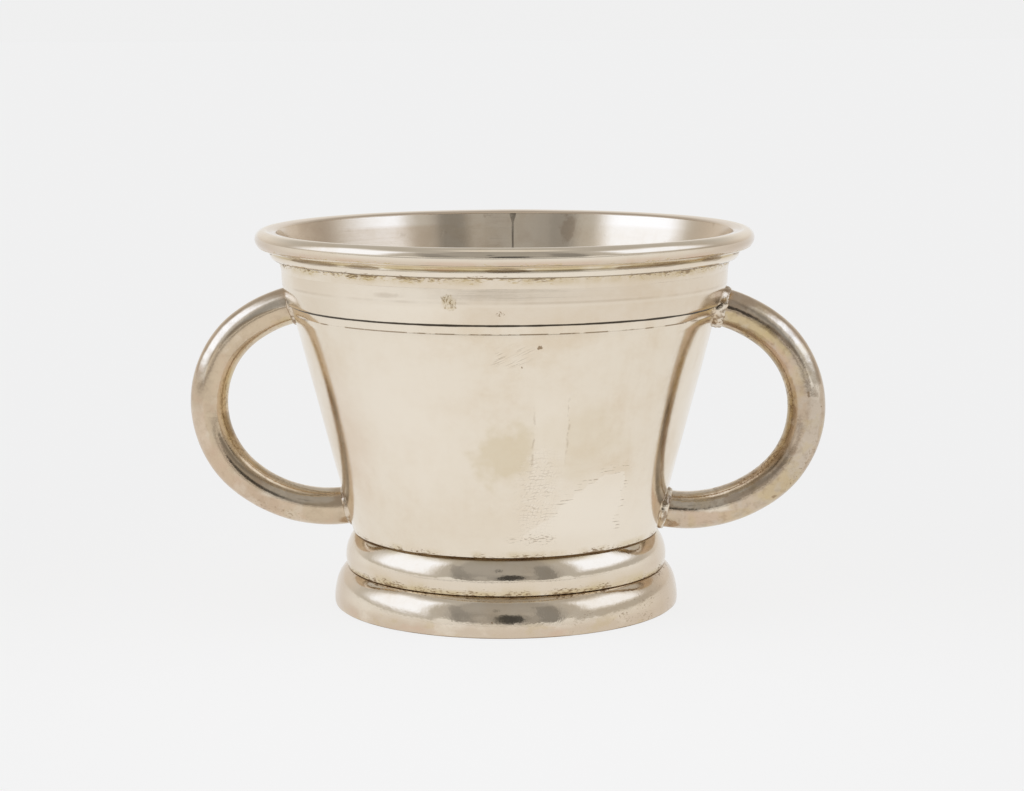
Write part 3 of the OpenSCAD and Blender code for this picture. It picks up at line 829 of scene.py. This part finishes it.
def makeStage():
    bpy.ops.object.select_all(action="DESELECT")
    bpy.ops.mesh.primitive_circle_add(vertices=96, radius=table["radius"], fill_type="NGON",
                                      location=(0, 0, -table["gap"] * mm))
    bpy.ops.object.transform_apply(location=True)
    ground = bpy.context.object
    ground.name = ground.data.name = "tableTop"
    material = bpy.data.materials.new("paleTable")
    material.use_nodes = True
    material.node_tree.nodes.clear()
    t = Tone(material.node_tree, None)
    camera, glossy, through = (t.node("ShaderNodeLightPath", out="Is %s Ray" % kind)
                               for kind in ("Camera", "Glossy", "Transmission"))
    seen = (camera + glossy + through).least(1.0)
    grey, shine = table["tone"], table["glow"]
    matt = t.node("ShaderNodeBsdfDiffuse", {}, {"Color": rgb(grey, grey, grey)})
    place = t.node("ShaderNodeTexCoord", out="Object")
    away = t.node("ShaderNodeVectorMath", {"operation": "DISTANCE"}, {0: place, 1: table["nearAt"]}, "Value")
    near = shine * (1 + table["nearGlow"])
    shade = away.rise(*table["nearReach"]).blend(rgb(shine, shine, shine), rgb(near, near, near))
    # past the table's edge the silver mirrors the room
    ahead = t.node("ShaderNodeSeparateXYZ", {}, {0: place}, 1)
    past = ahead.rise(-table["edge"], -table["edge"] - table["edgeSoft"]) * glossy
    shade = past.blend(shade, rgb(*(studio["room"] * c for c in studio["roomTint"])))
    glow = t.node("ShaderNodeEmission", {}, {"Color": shade, "Strength": 1.0})
    mixed = t.node("ShaderNodeMixShader", {}, {0: seen * table["glowShare"], 1: matt, 2: glow})
    t.node("ShaderNodeOutputMaterial", {}, {0: mixed})
    ground.data.materials.append(material)


# room: brightness of what the silver mirrors, with turns and heights in degrees seen from the cup
# Turn, Up, Inner, Outer, Low and Top: where a soft edge begins and ends; boxLift: how much higher the right box hangs
# stands: turn, lean, half width, top, strength; lens and spot: turn, height, half width, half height
studio = {
    "camTurn": 4.14, "room": 0.42, "over": 0.385, "overUp": (40, 70), "ceiling": 0.75, "ceilingUp": (70, 84),
    "flank": 0.54, "flankTurn": (36, 46), "back": 0.84, "backTurn": (104, 150), "backUp": (36, 14),
    "clutter": 0.2, "clutterTurn": (40, 34), "clutterUp": (38, 16), "paleUp": (4.6, 2.8),
    "boxLeft": 1.24, "boxRight": 1.22, "boxLift": 7.5, "boxInner": (49, 63), "boxOuter": (120, 98),
    "boxLow": (4, 14), "boxTop": (60, 43), "roomTint": (1.0, 0.965, 0.92), "boxTint": (0.92, 1.0, 1.17),
    "shade": 0.27, "stands": [(-22.5, 0.45, 7, 48, 0.55), (30, 0.0, 7.5, 50, 0.9)],
    "dark": 0.07, "lens": (3, 12, 9.5, 9), "spot": (-6.5, 35, 1.8, 5),
}


def makeWorld():
    world = bpy.data.worlds.new("studioRoom")
    bpy.context.scene.world = world
    world.use_nodes = True
    world.node_tree.nodes.clear()
    t = Tone(world.node_tree, None)
    way = t.node("ShaderNodeTexCoord", out="Generated")
    x, y, z = (t.node("ShaderNodeSeparateXYZ", {}, {0: way}, i) for i in range(3))
    turn = t.maths("ARCTAN2", x, -y) * degree - studio["camTurn"]  # 0 towards the camera
    up = t.maths("ARCSINE", z) * degree
    side = abs(turn)

    # how far a direction lies from a disc's middle, in half widths
    def disc(turnAt, upAt, wide, high):
        return ((turn - turnAt) / wide).far((up - upAt) / high)

    room = up.rise(*studio["overUp"]) * (studio["over"] - studio["room"]) + studio["room"]
    room = room + up.rise(*studio["ceilingUp"]) * (studio["ceiling"] - studio["over"])
    room = room + side.rise(*studio["flankTurn"]) * (studio["flank"] - studio["room"])
    behind = side.rise(*studio["backTurn"]) * up.rise(*studio["backUp"])
    light = room * (1 - behind) + behind * studio["back"]
    cells = t.node("ShaderNodeTexVoronoi", {}, {"Vector": way, "Scale": 5.5}, 1)
    cells = t.node("ShaderNodeSeparateColor", {}, {0: cells}, 0)
    inFront = side.rise(*studio["clutterTurn"]) * up.rise(*studio["clutterUp"])
    light = light + (cells - 0.6) * inFront * studio["clutter"]
    crooked = t.node("ShaderNodeTexNoise", {}, {"Vector": way, "Scale": 7.0, "Detail": 2.0}) - 0.5
    for at, lean, half, top, share in studio["stands"]:
        stand = (turn + up * lean - at + crooked * 9).near(0, half, 1.2)
        stand = stand * (up + crooked * 20).rise(top, top - 5) * share
        light = light * (1 - stand) + stand * studio["shade"]
    onRight = turn.rise(-10, 10)
    boxes = side.rise(*studio["boxInner"]) * side.rise(*studio["boxOuter"])
    boxes = boxes * (up - onRight * studio["boxLift"]).rise(*studio["boxLow"]) * up.rise(*studio["boxTop"])
    power = onRight * (studio["boxRight"] - studio["boxLeft"]) + studio["boxLeft"]
    light = light * (1 - boxes) + boxes * power
    lens = disc(*studio["lens"]).rise(1.06, 0.94).most(disc(*studio["spot"]).rise(1.2, 0.8) * 0.7)
    light = light * (1 - lens) + lens * studio["dark"]
    pale = (up - side.near(42, 5, 4) * 6).rise(*studio["paleUp"])
    light = light * (1 - pale) + pale * table["tone"]
    camera = t.node("ShaderNodeLightPath", out="Is Camera Ray")
    light = light * (1 - camera) + camera * table["tone"]
    tint = boxes.blend(rgb(*studio["roomTint"]), rgb(*studio["boxTint"]))
    tint = pale.most(camera).blend(tint, rgb(1, 1, 1))
    tint = t.node("ShaderNodeVectorMath", {"operation": "SCALE"}, {0: tint, "Scale": light})
    glow = t.node("ShaderNodeBackground", {}, {"Color": tint, "Strength": 1.0})
    t.node("ShaderNodeOutputWorld", {}, {0: glow})


view = {"place": (0.0400, -0.5317, 0.1260), "pitch": 8.532, "turn": 4.14, "roll": 0.221, "lens": 85.0,
        "sensor": 36.0, "nearest": 0.01}


def makeCamera():
    pitch, turn, roll = (math.radians(view[k]) for k in ("pitch", "turn", "roll"))
    ahead = Vector((-math.sin(turn) * math.cos(pitch), math.cos(turn) * math.cos(pitch), -math.sin(pitch)))
    right = Vector((math.cos(turn), math.sin(turn), 0))
    up = right.cross(ahead)
    rolledRight = right * math.cos(roll) - up * math.sin(roll)
    rolledUp = right * math.sin(roll) + up * math.cos(roll)
    camera = bpy.data.objects.new("photoCamera", bpy.data.cameras.new("photoCamera"))
    bpy.context.scene.collection.objects.link(camera)
    camera.data.lens, camera.data.sensor_width = view["lens"], view["sensor"]
    camera.data.clip_start = view["nearest"]
    axes = Matrix((rolledRight, rolledUp, -ahead)).transposed().to_4x4()
    camera.matrix_world = Matrix.Translation(view["place"]) @ axes
    bpy.context.scene.camera = camera


makeStage()
makeWorld()
makeCamera()
bpy.context.scene.view_settings.view_transform = "Standard"
print("stage made")
